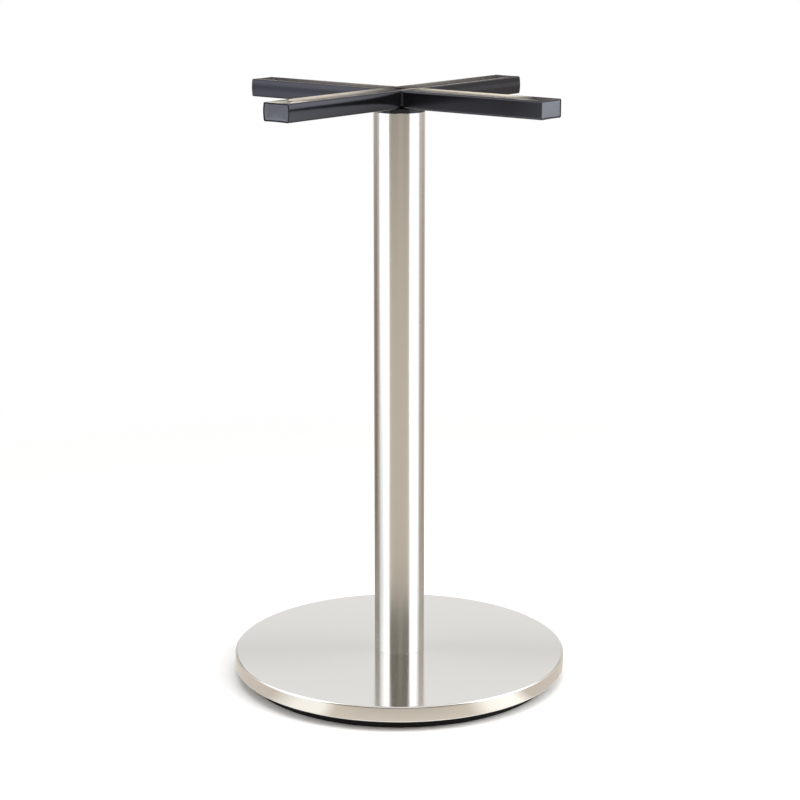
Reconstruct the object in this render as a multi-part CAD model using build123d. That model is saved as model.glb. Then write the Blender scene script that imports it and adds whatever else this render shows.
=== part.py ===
from build123d import *
import os
from math import asin, degrees, sqrt

# Cross table base: a spun stainless cover over an iron weight, a polished column
# and a welded cross of rectangular tube, drawn together by one tie rod.
# Millimetres, +Z up, origin on the floor under the column's axis.
# The long cross bar lies along Y, the two short bars along X.

# Overall
TOTAL_HEIGHT = 710.0

# Foot cover, spun from sheet: flat top, rounded edge, skirt and turned-in lower lip
FOOT_DIAMETER = 400.0
FLOOR_GAP = 12.0
COVER_HEIGHT = 19.0
COVER_SHEET = 1.2
COVER_EDGE_BEND = 1.3
COVER_LIP_BEND = 1.3
COVER_LIP_WIDTH = 9.0

# Iron weight that fills the cover
WEIGHT_GAP = 0.3
COUNTERBORE_DIAMETER = 46.0
COUNTERBORE_DEPTH = 9.0

# Rubber ring that the foot stands on, pressed into a groove of the weight
RING_INSET = 15.0
RING_WIDTH = 14.0
RING_GROOVE_DEPTH = 4.0
RING_GAP = 0.2
RING_EDGE_RADIUS = 1.5

# Column tube, and the disc and spigot that centre it below and above
COLUMN_DIAMETER = 60.0
COLUMN_WALL = 1.5
SPIGOT_GAP = 0.2
CENTRING_DISC_HEIGHT = 12.0
CENTRING_DISC_CHAMFER = 1.5

# Plate under the cross, with a tapped spigot that enters the column's top
PLATE_THICKNESS = 5.0
SPIGOT_LENGTH = 10.0
SPIGOT_CHAMFER = 1.0

# Cross of rectangular tube
CROSS_SPAN = 425.0
BAR_WIDTH = 38.0
BAR_HEIGHT = 21.0
BAR_WALL = 1.5
BAR_INNER_CORNER = 0.7
SCREW_END_DISTANCE = 22.5
SCREW_HOLE_DIAMETER = 7.0

# Welds of the cross: upright beads in the inner corners, curved beads along the plate's rim,
# and filled seams where the short bars meet the long bar's rounded edges
CORNER_WELD_LEG = 3.0
PLATE_WELD_LEG = 2.5
PLATE_WELD_GAP = 0.05
PLATE_WELD_END_MARGIN = 3.0
SEAM_WELD_GAP = 0.05

# Push-in plugs that close the bars
PLUG_RECESS = 0.4
PLUG_FACE_THICKNESS = 2.5
PLUG_DEPTH = 14.0
PLUG_WALL = 1.6
PLUG_RIB_HEIGHT = 0.8
PLUG_RIB_THICKNESS = 1.2
PLUG_RIB_COUNT = 3
PLUG_GAP = 0.1

# Tie rod and its fasteners
ROD_DIAMETER = 12.0
ROD_HOLE_GAP = 0.5
ROD_CHAMFER = 1.0
ROD_TAIL = 1.5
ROD_RISE = 6.0
ROD_SLOT_WIDTH = 2.0
ROD_SLOT_DEPTH = 2.5
THREAD_GAP = 0.05
NUT_ACROSS_FLATS = 18.0
NUT_HEIGHT = 10.0
NUT_CHAMFER_ANGLE = 30.0
WASHER_DIAMETER = 37.0
WASHER_THICKNESS = 3.0
SPRING_WASHER_DIAMETER = 21.0
SPRING_WASHER_THICKNESS = 2.5
SPRING_WASHER_SLIT = 1.5
SPRING_WASHER_SLIT_ANGLE = 20.0

# Levels and radii that follow from the sizes above
FOOT_RADIUS = FOOT_DIAMETER / 2
FOOT_TOP = FLOOR_GAP + COVER_HEIGHT
WEIGHT_TOP = FOOT_TOP - COVER_SHEET
WEIGHT_BOTTOM = FLOOR_GAP + COVER_SHEET
WEIGHT_RADIUS = FOOT_RADIUS - COVER_SHEET - WEIGHT_GAP
COUNTERBORE_TOP = WEIGHT_BOTTOM + COUNTERBORE_DEPTH
RING_OUTER_RADIUS = FOOT_RADIUS - RING_INSET
RING_INNER_RADIUS = RING_OUTER_RADIUS - RING_WIDTH
RING_TOP = WEIGHT_BOTTOM + RING_GROOVE_DEPTH
COLUMN_RADIUS = COLUMN_DIAMETER / 2
COLUMN_BORE_RADIUS = COLUMN_RADIUS - COLUMN_WALL
SPIGOT_RADIUS = COLUMN_BORE_RADIUS - SPIGOT_GAP
BAR_BOTTOM = TOTAL_HEIGHT - BAR_HEIGHT
BAR_MIDDLE = TOTAL_HEIGHT - BAR_HEIGHT / 2
BAR_OUTER_CORNER = BAR_INNER_CORNER + BAR_WALL
SCREW_RADIUS = CROSS_SPAN / 2 - SCREW_END_DISTANCE
COLUMN_TOP = BAR_BOTTOM - PLATE_THICKNESS
ROD_RADIUS = ROD_DIAMETER / 2
ROD_HOLE_RADIUS = ROD_RADIUS + ROD_HOLE_GAP
SEAM_WELD_LEG = 2 * BAR_OUTER_CORNER - sqrt(2) * (BAR_OUTER_CORNER + SEAM_WELD_GAP)
LOWER_WASHER_BOTTOM = COUNTERBORE_TOP - WASHER_THICKNESS
LOWER_SPRING_BOTTOM = LOWER_WASHER_BOTTOM - SPRING_WASHER_THICKNESS
LOWER_NUT_BOTTOM = LOWER_SPRING_BOTTOM - NUT_HEIGHT
ROD_BOTTOM = LOWER_NUT_BOTTOM - ROD_TAIL
ROD_TOP = BAR_BOTTOM + ROD_RISE

# Directions of the four arms, in degrees about Z
ARM_ANGLES = {"right": 0, "back": 90, "left": 180, "front": 270}

UPRIGHT = (Align.CENTER, Align.CENTER, Align.MIN)

# Two edges closer than this are taken as the same edge
SAME_PLACE = 1e-4


def turned(*points):
    """Body of revolution about Z from a closed outline of (radius, height) points."""
    return revolve(Plane.XZ * make_face(Polyline(*points, close=True)), Axis.Z)


def disc(radius, bottom, top):
    """Solid cylinder about Z between two levels."""
    return Pos(0, 0, bottom) * Cylinder(radius, top - bottom, align=UPRIGHT)


def washer(outer_radius, inner_radius, bottom, thickness):
    """Flat ring about Z."""
    top = bottom + thickness
    return disc(outer_radius, bottom, top) - disc(inner_radius, bottom, top)


def rim(body, radius, level):
    """Circular edges of a turned body at one radius and level."""
    circles = body.edges().filter_by(GeomType.CIRCLE)
    at_level = [e for e in circles if abs(e.arc_center.Z - level) < SAME_PLACE]
    return [e for e in at_level if abs(e.radius - radius) < SAME_PLACE]


def base_cover():
    """Spun sheet: centre hole, flat top, rounded edge, upright skirt and lip turned in below."""
    lip_radius = FOOT_RADIUS - COVER_LIP_WIDTH
    inner_radius = FOOT_RADIUS - COVER_SHEET
    outside = FilletPolyline(
        (ROD_HOLE_RADIUS, FOOT_TOP),
        (FOOT_RADIUS, FOOT_TOP),
        (FOOT_RADIUS, FLOOR_GAP),
        (lip_radius, FLOOR_GAP),
        radius=[COVER_EDGE_BEND + COVER_SHEET, COVER_LIP_BEND + COVER_SHEET],
    )
    inside = FilletPolyline(
        (lip_radius, WEIGHT_BOTTOM),
        (inner_radius, WEIGHT_BOTTOM),
        (inner_radius, WEIGHT_TOP),
        (ROD_HOLE_RADIUS, WEIGHT_TOP),
        radius=[COVER_LIP_BEND, COVER_EDGE_BEND],
    )
    lip_end = Line(outside @ 1, inside @ 0)
    hole_edge = Line(inside @ 1, outside @ 0)
    section = make_face(outside + lip_end + inside + hole_edge)
    return revolve(Plane.XZ * section, Axis.Z)


def base_weight():
    """Iron disc that fills the cover, with the rod's hole, ring groove and nut recess."""
    body = disc(WEIGHT_RADIUS, WEIGHT_BOTTOM, WEIGHT_TOP)
    body = fillet(rim(body, WEIGHT_RADIUS, WEIGHT_TOP), COVER_EDGE_BEND)
    body = fillet(rim(body, WEIGHT_RADIUS, WEIGHT_BOTTOM), COVER_LIP_BEND)
    body -= washer(
        RING_OUTER_RADIUS + RING_GAP, RING_INNER_RADIUS - RING_GAP, WEIGHT_BOTTOM, RING_GROOVE_DEPTH
    )
    body -= disc(COUNTERBORE_DIAMETER / 2, WEIGHT_BOTTOM, COUNTERBORE_TOP)
    return body - disc(ROD_HOLE_RADIUS, COUNTERBORE_TOP, WEIGHT_TOP)


def floor_ring():
    """Rubber ring with rounded lower edges, seated in the weight's groove."""
    body = washer(RING_OUTER_RADIUS, RING_INNER_RADIUS, 0, RING_TOP)
    floor_edges = rim(body, RING_OUTER_RADIUS, 0) + rim(body, RING_INNER_RADIUS, 0)
    return fillet(floor_edges, RING_EDGE_RADIUS)


def centring_disc():
    """Disc on the cover that centres the column's foot, with the rod's hole."""
    top = FOOT_TOP + CENTRING_DISC_HEIGHT
    body = chamfer(rim(disc(SPIGOT_RADIUS, FOOT_TOP, top), SPIGOT_RADIUS, top), CENTRING_DISC_CHAMFER)
    return body - disc(ROD_HOLE_RADIUS, FOOT_TOP, top)


def column_tube():
    """Round tube that stands on the cover and carries the plate of the cross."""
    return washer(COLUMN_RADIUS, COLUMN_BORE_RADIUS, FOOT_TOP, COLUMN_TOP - FOOT_TOP)


def top_plate():
    """Turned plate as wide as the column, with a chamfered spigot, tapped for the rod."""
    spigot_bottom = COLUMN_TOP - SPIGOT_LENGTH
    thread_radius = ROD_RADIUS + THREAD_GAP
    return turned(
        (thread_radius, spigot_bottom),
        (SPIGOT_RADIUS - SPIGOT_CHAMFER, spigot_bottom),
        (SPIGOT_RADIUS, spigot_bottom + SPIGOT_CHAMFER),
        (SPIGOT_RADIUS, COLUMN_TOP),
        (COLUMN_RADIUS, COLUMN_TOP),
        (COLUMN_RADIUS, BAR_BOTTOM),
        (thread_radius, BAR_BOTTOM),
    )


def rounded_section(inset, corner):
    """Outline of the bar drawn in by an inset, upright across the X axis."""
    outline = RectangleRounded(BAR_WIDTH - 2 * inset, BAR_HEIGHT - 2 * inset, corner)
    return Pos(0, 0, BAR_MIDDLE) * (Plane.YZ * outline)


def bar_along_x(start, end):
    """Length of rectangular tube between two places on X."""
    wall = rounded_section(0, BAR_OUTER_CORNER) - rounded_section(BAR_WALL, BAR_INNER_CORNER)
    return Pos(start, 0, 0) * extrude(wall, end - start, dir=(1, 0, 0))


def screw_hole(side):
    """Cutter for the table top's screw, near one end of a bar along X."""
    return Pos(side * SCREW_RADIUS, 0, 0) * disc(SCREW_HOLE_DIAMETER / 2, BAR_BOTTOM, TOTAL_HEIGHT)


def cross_bar_long():
    """Bar that runs right through, drilled through its middle for the rod and its screwdriver."""
    bar = bar_along_x(-CROSS_SPAN / 2, CROSS_SPAN / 2) - screw_hole(-1) - screw_hole(1)
    bar -= disc(ROD_HOLE_RADIUS, BAR_BOTTOM, TOTAL_HEIGHT)
    return Rot(0, 0, ARM_ANGLES["back"]) * bar


def cross_bar_short(side):
    """Bar butted against the long bar's side."""
    bar = bar_along_x(BAR_WIDTH / 2, CROSS_SPAN / 2) - screw_hole(1)
    return Rot(0, 0, ARM_ANGLES[side]) * bar


def corner_welds():
    """Upright triangular beads in the four inner corners of the cross."""
    corner = BAR_WIDTH / 2
    section = Polyline(
        (corner, corner),
        (corner + CORNER_WELD_LEG, corner),
        (corner, corner + CORNER_WELD_LEG),
        close=True,
    )
    flat_height = BAR_HEIGHT - 2 * BAR_OUTER_CORNER
    bead = Pos(0, 0, BAR_MIDDLE - flat_height / 2) * extrude(make_face(section), flat_height)
    return Compound([Rot(0, 0, angle) * bead.solid() for angle in ARM_ANGLES.values()])


def plate_welds():
    """Curved beads under the four arms, in the corner between the plate's rim and the bar."""
    inner = COLUMN_RADIUS + PLATE_WELD_GAP
    outer = inner + PLATE_WELD_LEG
    section = Polyline(
        (inner, BAR_BOTTOM),
        (outer, BAR_BOTTOM),
        (inner, BAR_BOTTOM - PLATE_WELD_LEG),
        close=True,
    )
    half_chord = BAR_WIDTH / 2 - BAR_OUTER_CORNER - PLATE_WELD_END_MARGIN
    half_angle = degrees(asin(half_chord / outer))
    bead = revolve(Plane.XZ * make_face(section), Axis.Z, 2 * half_angle)
    return Compound([Rot(0, 0, angle - half_angle) * bead.solid() for angle in ARM_ANGLES.values()])


def seam_welds():
    """Filled seams above and below, between the short bars' ends and the long bar's rounded edges."""
    corner = BAR_WIDTH / 2
    length = BAR_WIDTH - 2 * BAR_OUTER_CORNER
    fills = []
    for level, inward in ((TOTAL_HEIGHT, -1), (BAR_BOTTOM, 1)):
        section = Polyline(
            (corner, level),
            (corner - SEAM_WELD_LEG, level),
            (corner, level + inward * SEAM_WELD_LEG),
            close=True,
        )
        fill = extrude(Plane.XZ * make_face(section), length / 2, both=True).solid()
        fills += [Rot(0, 0, ARM_ANGLES[side]) * fill for side in ("right", "left")]
    return Compound(fills)


def end_plug(side):
    """Push-in plug: closed face just inside the bar's end, hollow skirt and gripping ribs."""
    face_end = CROSS_SPAN / 2 - PLUG_RECESS
    skirt_start = face_end - PLUG_DEPTH
    head_inset = BAR_WALL + PLUG_GAP
    skirt_inset = head_inset + PLUG_RIB_HEIGHT
    head = rounded_section(head_inset, BAR_INNER_CORNER)
    skirt = rounded_section(skirt_inset, BAR_INNER_CORNER)
    hollow = rounded_section(skirt_inset + PLUG_WALL, BAR_INNER_CORNER)
    plug = Pos(face_end - PLUG_FACE_THICKNESS, 0, 0) * extrude(head, PLUG_FACE_THICKNESS, dir=(1, 0, 0))
    plug += Pos(skirt_start, 0, 0) * extrude(skirt, PLUG_DEPTH, dir=(1, 0, 0))
    rib_pitch = (PLUG_DEPTH - PLUG_FACE_THICKNESS) / PLUG_RIB_COUNT
    for index in range(PLUG_RIB_COUNT):
        rib = extrude(head, PLUG_RIB_THICKNESS, dir=(1, 0, 0))
        plug += Pos(skirt_start + index * rib_pitch, 0, 0) * rib
    plug -= Pos(skirt_start, 0, 0) * extrude(hollow, PLUG_DEPTH - PLUG_FACE_THICKNESS, dir=(1, 0, 0))
    return Rot(0, 0, ARM_ANGLES[side]) * plug


def tie_rod():
    """Rod from under the weight, through the plate's thread, into the long bar; slotted at its top."""
    body = disc(ROD_RADIUS, ROD_BOTTOM, ROD_TOP)
    body = chamfer(rim(body, ROD_RADIUS, ROD_BOTTOM) + rim(body, ROD_RADIUS, ROD_TOP), ROD_CHAMFER)
    slot = Box(ROD_DIAMETER, ROD_SLOT_WIDTH, 2 * ROD_SLOT_DEPTH)
    return body - Pos(0, 0, ROD_TOP) * slot


def nut(bottom):
    """Hexagon nut with its corners turned off at both faces."""
    flat_radius = NUT_ACROSS_FLATS / 2
    hexagon = RegularPolygon(flat_radius, 6, major_radius=False)
    body = extrude(Pos(0, 0, bottom) * hexagon, NUT_HEIGHT)
    corner_radius = hexagon.radius
    cone = disc(corner_radius, bottom, bottom + NUT_HEIGHT)
    cone_edges = rim(cone, corner_radius, bottom) + rim(cone, corner_radius, bottom + NUT_HEIGHT)
    turned_corner = corner_radius - flat_radius
    cone = chamfer(cone_edges, turned_corner, angle=NUT_CHAMFER_ANGLE)
    return (body & cone) - disc(ROD_RADIUS + THREAD_GAP, bottom, bottom + NUT_HEIGHT)


def spring_washer(bottom):
    """Split ring, cut through on a slant."""
    ring = washer(SPRING_WASHER_DIAMETER / 2, ROD_RADIUS + THREAD_GAP, bottom, SPRING_WASHER_THICKNESS)
    cut = Box(SPRING_WASHER_DIAMETER, SPRING_WASHER_SLIT, 2 * SPRING_WASHER_DIAMETER)
    middle = bottom + SPRING_WASHER_THICKNESS / 2
    return ring - Pos(SPRING_WASHER_DIAMETER / 2, 0, middle) * Rot(SPRING_WASHER_SLIT_ANGLE, 0, 0) * cut


NODES = {
    "base_cover": base_cover(),
    "base_weight": base_weight(),
    "floor_ring": floor_ring(),
    "centring_disc": centring_disc(),
    "column_tube": column_tube(),
    "top_plate": top_plate(),
    "cross_bar_long": cross_bar_long(),
    "cross_bar_right": cross_bar_short("right"),
    "cross_bar_left": cross_bar_short("left"),
    "corner_welds": corner_welds(),
    "plate_welds": plate_welds(),
    "seam_welds": seam_welds(),
    "tie_rod": tie_rod(),
    "lower_washer": washer(WASHER_DIAMETER / 2, ROD_HOLE_RADIUS, LOWER_WASHER_BOTTOM, WASHER_THICKNESS),
    "lower_spring_washer": spring_washer(LOWER_SPRING_BOTTOM),
    "lower_nut": nut(LOWER_NUT_BOTTOM),
}
for side in ARM_ANGLES:
    NODES["end_plug_" + side] = end_plug(side)

os.makedirs("parts", exist_ok=True)
for name, body in NODES.items():
    export_step(body, "parts/" + name + ".step")
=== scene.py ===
"""Looks of a cross table base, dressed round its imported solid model.

A spun stainless foot, a polished stainless column and a welded cross of black powder-coated tube.
Lengths are metres, +Z is up, and every piece stands in the solid model's own frame.
"""

from __future__ import annotations

import logging
import math
from collections.abc import Sequence
from dataclasses import dataclass, field
from enum import Enum

import bmesh
import bpy
import numpy as np
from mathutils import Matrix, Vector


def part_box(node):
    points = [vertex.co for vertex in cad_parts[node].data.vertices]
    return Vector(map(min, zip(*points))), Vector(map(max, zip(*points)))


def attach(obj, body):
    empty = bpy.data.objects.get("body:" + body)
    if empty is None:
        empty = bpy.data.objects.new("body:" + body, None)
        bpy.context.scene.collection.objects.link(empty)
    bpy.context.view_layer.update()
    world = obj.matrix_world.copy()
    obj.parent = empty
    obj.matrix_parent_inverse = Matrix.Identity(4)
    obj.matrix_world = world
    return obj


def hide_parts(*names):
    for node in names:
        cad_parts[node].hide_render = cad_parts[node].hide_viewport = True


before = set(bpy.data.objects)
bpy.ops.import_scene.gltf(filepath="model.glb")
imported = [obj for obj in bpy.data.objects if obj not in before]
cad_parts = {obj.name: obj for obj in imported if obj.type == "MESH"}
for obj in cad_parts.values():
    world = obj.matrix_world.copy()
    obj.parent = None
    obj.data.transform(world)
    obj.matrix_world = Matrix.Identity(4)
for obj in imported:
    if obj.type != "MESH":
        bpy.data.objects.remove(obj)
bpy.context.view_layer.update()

LOG = logging.getLogger("cross_table_base")

MM = 0.001
QUARTER_TURN = math.pi / 2
# Points closer than this are one point
WELD_DISTANCE = 2e-7
# Edges that turn more than this stay crisp
CRISP_ANGLE = math.radians(32)


class Slot(Enum):
    """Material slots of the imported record."""

    POLISHED_STAINLESS = "polished_stainless"
    SPUN_STAINLESS = "spun_stainless"
    BLACK_IRON = "black_iron"
    FLOOR_RUBBER = "floor_rubber"
    BLACK_POWDER_COAT = "black_powder_coat"
    GREY_PLUG_PLASTIC = "grey_plug_plastic"
    ZINC_PLATE = "zinc_plate"


class Arm(Enum):
    """Arms of the cross, by their quarter turns about Z from +X."""

    RIGHT = 0
    BACK = 1
    LEFT = 2
    FRONT = 3

    def turn(self, points: np.ndarray) -> np.ndarray:
        """Turns points that were laid out along +X to this arm."""
        angle = self.value * QUARTER_TURN
        cosine, sine = round(math.cos(angle)), round(math.sin(angle))
        return points @ np.array([[cosine, sine, 0], [-sine, cosine, 0], [0, 0, 1]], float)


class Wall(Enum):
    """The two flat walls of a bar that holes go through."""

    TOP = 1
    BOTTOM = -1


def linear(hex_colour: str) -> tuple[float, float, float, float]:
    """Undoes the sRGB curve of a hex colour.

    Args:
        hex_colour: colour as #rrggbb.

    Returns:
        Linear red, green, blue and an alpha of 1.
    """
    srgb = np.array([int(hex_colour[i : i + 2], 16) for i in (1, 3, 5)]) / 255
    rgb = np.where(srgb <= 0.04045, srgb / 12.92, ((srgb + 0.055) / 1.055) ** 2.4)
    return (*rgb.tolist(), 1.0)


def feed(tree: bpy.types.NodeTree, node: bpy.types.Node, inputs: dict) -> None:
    """Sets a node's inputs.

    Args:
        tree: the node's tree.
        node: the node.
        inputs: input name or number to a value, or to another node's output.
    """
    for key, value in inputs.items():
        if isinstance(value, bpy.types.NodeSocket):
            tree.links.new(value, node.inputs[key])
        else:
            node.inputs[key].default_value = value


def add_node(
    tree: bpy.types.NodeTree, kind: str, inputs: dict | None = None, **settings: object
) -> bpy.types.Node:
    """Adds a shader node with its settings, and sets its inputs.

    Args:
        tree: node tree that takes the node.
        kind: the node's type, without the word that all shader nodes start with.
        inputs: input name or number to a value, or to another node's output.
        settings: the node's own properties.

    Returns:
        The new node.
    """
    made = tree.nodes.new("ShaderNode" + kind)
    for key, value in settings.items():
        setattr(made, key, value)
    feed(tree, made, inputs or {})
    return made


def new_material(name: str) -> tuple[bpy.types.Material, bpy.types.NodeTree]:
    """Adds a material.

    Args:
        name: the material's name.

    Returns:
        The material and its node tree.
    """
    material = bpy.data.materials.new(name)
    material.use_nodes = True
    return material, material.node_tree


def new_object(name: str, data: bpy.types.ID) -> bpy.types.Object:
    """Adds an object at the origin.

    Args:
        name: the object's name.
        data: its mesh, lamp or camera.

    Returns:
        The new object.
    """
    made = bpy.data.objects.new(name, data)
    bpy.context.scene.collection.objects.link(made)
    return made


@dataclass(frozen=True)
class Finish:
    """A surface finish: what it is called, its slot, its colour and its gloss."""

    name: str
    slot: Slot
    colour: str
    roughness: float
    gloss_spread: float
    metallic: float = 0.0
    specular: float = 0.5
    tint: str = "#ffffff"

    def material(self) -> bpy.types.Material:
        """Makes the material, with the pattern of its kind of finish."""
        material, tree = new_material(self.name)
        shader = tree.nodes["Principled BSDF"]
        feed(tree, shader, {
            "Base Color": linear(self.colour), "Roughness": self.roughness, "Metallic": self.metallic,
            "Specular IOR Level": self.specular, "Specular Tint": linear(self.tint),
        })
        self.pattern(tree, shader)
        return material

    def pattern(self, tree: bpy.types.NodeTree, shader: bpy.types.Node) -> None:
        """Adds the pattern; each kind of finish has its own."""
        raise NotImplementedError

    def vary(
        self, tree: bpy.types.NodeTree, shader: bpy.types.Node,
        gloss: bpy.types.NodeSocket, swing: float,
        height: bpy.types.NodeSocket, depth: float, spacing: float,
    ) -> None:
        """Shifts the roughness with one noise and lifts the surface with another.

        Args:
            tree: the material's node tree.
            shader: its Principled shader.
            gloss: noise that shifts the roughness.
            swing: how far that noise swings to either side of a half.
            height: noise that lifts the surface.
            depth: share of the lift that shows.
            spacing: real size of the lift's pattern.
        """
        rough = add_node(tree, "MapRange", {
            "Value": gloss, "From Min": 0.5 - swing, "From Max": 0.5 + swing,
            "To Min": self.roughness - self.gloss_spread, "To Max": self.roughness + self.gloss_spread,
        })
        bump = add_node(tree, "Bump", {"Height": height, "Strength": depth, "Distance": spacing})
        feed(tree, shader, {"Roughness": rough.outputs[0], "Normal": bump.outputs[0]})


@dataclass(frozen=True, kw_only=True)
class TurnedSteel(Finish):
    """Stainless steel worked on a lathe: fine rings round the axis draw highlights out across them."""

    metallic: float = 1.0
    anisotropy: float
    ring_spacing: float
    ring_depth: float

    def pattern(self, tree: bpy.types.NodeTree, shader: bpy.types.Node) -> None:
        """Rings follow radius minus height, so they run over a flat face and down its skirt alike."""
        place = add_node(tree, "TexCoord").outputs["Object"]
        flat = add_node(tree, "VectorMath", {0: place, 1: (1, 1, 0)}, operation="MULTIPLY").outputs[0]
        radius = add_node(tree, "VectorMath", {0: flat}, operation="LENGTH").outputs["Value"]
        height = add_node(tree, "SeparateXYZ", {0: place}).outputs["Z"]
        across = add_node(tree, "Math", {0: radius, 1: height}, operation="SUBTRACT").outputs[0]
        waves = {"W": across, "Scale": 1 / self.ring_spacing, "Detail": 3.0, "Roughness": 0.6}
        rings = add_node(tree, "TexNoise", waves, noise_dimensions="1D").outputs[0]
        self.vary(
            tree, shader, gloss=rings, swing=0.25,
            height=rings, depth=self.ring_depth, spacing=self.ring_spacing,
        )
        # The highlight is drawn out along the meridian: across the rings, within the surface
        from_axis = {0: (0, 0, 1), 1: place}
        around = add_node(tree, "VectorMath", from_axis, operation="CROSS_PRODUCT").outputs[0]
        facing = add_node(tree, "NewGeometry").outputs["Normal"]
        meridian = add_node(tree, "VectorMath", {0: around, 1: facing}, operation="CROSS_PRODUCT")
        feed(tree, shader, {"Anisotropic": self.anisotropy, "Tangent": meridian.outputs[0]})


@dataclass(frozen=True, kw_only=True)
class GrainedCoat(Finish):
    """A coat, moulding or casting with a fine grain and cloudy changes of tone and gloss."""

    cloud_colour: str
    cloud: float
    grain: float
    grain_depth: float

    def pattern(self, tree: bpy.types.NodeTree, shader: bpy.types.Node) -> None:
        """Fine noise lifts the grain, and coarse noise shifts the tone and the gloss."""
        place = add_node(tree, "TexCoord").outputs["Object"]
        puffs = {"Vector": place, "Scale": 1 / self.cloud, "Detail": 4.0, "Roughness": 0.6}
        clouds = add_node(tree, "TexNoise", puffs).outputs[0]
        # In a mix of colours, inputs 6 and 7 and output 2 are the colours
        tones = {0: clouds, 6: linear(self.colour), 7: linear(self.cloud_colour)}
        tone = add_node(tree, "Mix", tones, data_type="RGBA").outputs[2]
        feed(tree, shader, {"Base Color": tone})
        grain = add_node(tree, "TexNoise", {"Vector": place, "Scale": 1 / self.grain, "Detail": 2.0})
        self.vary(
            tree, shader, gloss=clouds, swing=0.2,
            height=grain.outputs[0], depth=self.grain_depth, spacing=self.grain,
        )


# Mirror-polished tube: crisp upright bands of light, a little drawn out by the polishing wheel
COLUMN_STEEL = TurnedSteel(
    "polished_stainless_tube", Slot.POLISHED_STAINLESS, "#d6d4d1", 0.24, 0.03,
    anisotropy=0.9, ring_spacing=1.6 * MM, ring_depth=0.01,
)
# Sheet spun over a former and polished: brighter than the tube, with rings round its middle
COVER_STEEL = TurnedSteel(
    "spun_stainless_sheet", Slot.SPUN_STAINLESS, "#dedcd8", 0.12, 0.015,
    anisotropy=0.6, ring_spacing=1.3 * MM, ring_depth=0.004,
)
# Powder coat: satin black with a slight orange peel, drawn at 2 mm because the real 1 mm can't show
POWDER_COAT = GrainedCoat(
    "satin_black_powder_coat", Slot.BLACK_POWDER_COAT, "#0a0a0c", 0.14, 0.015,
    specular=0.48, tint="#e6e6f5",
    cloud_colour="#0e0e11", cloud=40 * MM, grain=2 * MM, grain_depth=0.006,
)
# Sand casting under black paint: dull, with the sand's grain
BLACK_IRON = GrainedCoat(
    "black_painted_casting", Slot.BLACK_IRON, "#1f1e1d", 0.62, 0.08,
    cloud_colour="#35322f", cloud=18 * MM, grain=1.8 * MM, grain_depth=0.5,
)
# Moulded rubber: deep black and dull, greyed here and there by dust
RUBBER = GrainedCoat(
    "moulded_black_rubber", Slot.FLOOR_RUBBER, "#0c0b0b", 0.72, 0.04,
    specular=0.15,
    cloud_colour="#211f1e", cloud=12 * MM, grain=0.8 * MM, grain_depth=0.2,
)
# Moulded polyethylene: mid grey, a fine spark-eroded grain that breaks up the shine
PLUG_PLASTIC = GrainedCoat(
    "moulded_grey_polyethylene", Slot.GREY_PLUG_PLASTIC, "#4b4e55", 0.3, 0.02,
    specular=0.75, tint="#e8edf8",
    cloud_colour="#56585d", cloud=9 * MM, grain=1.0 * MM, grain_depth=0.05,
)
# Bright zinc plate: pale blue-white steel, clouded by its passivation
ZINC = GrainedCoat(
    "bright_zinc_plate", Slot.ZINC_PLATE, "#c3c5c9", 0.34, 0.07,
    metallic=1.0,
    cloud_colour="#d2d0c8", cloud=6 * MM, grain=0.5 * MM, grain_depth=0.06,
)


def rounded_outline(
    corners: Sequence[tuple[float, float]], radii: Sequence[float], steps: int, support: float
) -> np.ndarray:
    """Closed outline with arcs for corners.

    Each corner gives way to the arc that touches both of its sides, cut into equal turns, and to one
    point on each side just off the arc, which keeps the flat side's shading flat.

    Args:
        corners: corner points in order.
        radii: radius of each corner's arc, 0 for a sharp one.
        steps: pieces of each arc.
        support: distance of the point off the arc.

    Returns:
        Array of points, one row each.
    """
    places = np.asarray(corners, float)
    back = np.roll(places, 1, axis=0) - places
    ahead = np.roll(places, -1, axis=0) - places
    back /= np.linalg.norm(back, axis=1, keepdims=True)
    ahead /= np.linalg.norm(ahead, axis=1, keepdims=True)
    share = np.linspace(0, 1, steps + 1)[:, None]
    parts = []
    for place, radius, before, after in zip(places, radii, back, ahead):
        if radius == 0:
            parts.append(place[None])
            continue
        half = math.acos(float(np.clip(before @ after, -1, 1))) / 2
        run = radius / math.tan(half)
        inward = before + after
        centre = place + inward / np.linalg.norm(inward) * radius / math.sin(half)
        first, last = place + before * run - centre, place + after * run - centre
        sweep = math.pi - 2 * half
        arc = (np.sin((1 - share) * sweep) * first + np.sin(share * sweep) * last) / math.sin(sweep)
        off = run + support
        parts += [place[None] + before * off, centre + arc, place[None] + after * off]
    return np.concatenate(parts)


def turned(outline: np.ndarray, segments: int) -> np.ndarray:
    """Carries (radius, height) points round Z: x is r cos a, y is r sin a, z is the height.

    Args:
        outline: points of the section, one row each.
        segments: points round the circle.

    Returns:
        Grid of points, outline by circle.
    """
    angle = np.linspace(0, 2 * math.pi, segments, endpoint=False)
    radius, height = outline[:, :1], outline[:, 1:]
    flat = radius * np.cos(angle), radius * np.sin(angle)
    return np.stack([*flat, height + np.zeros_like(angle)], axis=-1)


def grid_faces(rows: int, columns: int, wrap_rows: bool, wrap_columns: bool) -> np.ndarray:
    """Four corner numbers of each cell of a grid.

    Args:
        rows: points down the grid.
        columns: points across the grid.
        wrap_rows: the last row joins the first.
        wrap_columns: the last column joins the first.

    Returns:
        Array of cells by rows and columns, with four point numbers each.
    """
    down = np.arange(rows if wrap_rows else rows - 1)
    over = np.arange(columns if wrap_columns else columns - 1)
    row, column = np.meshgrid(down, over, indexing="ij")
    first, second = row * columns, (row + 1) % rows * columns
    beside = (column + 1) % columns
    return np.stack([first + column, first + beside, second + beside, second + column], axis=-1)


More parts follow.
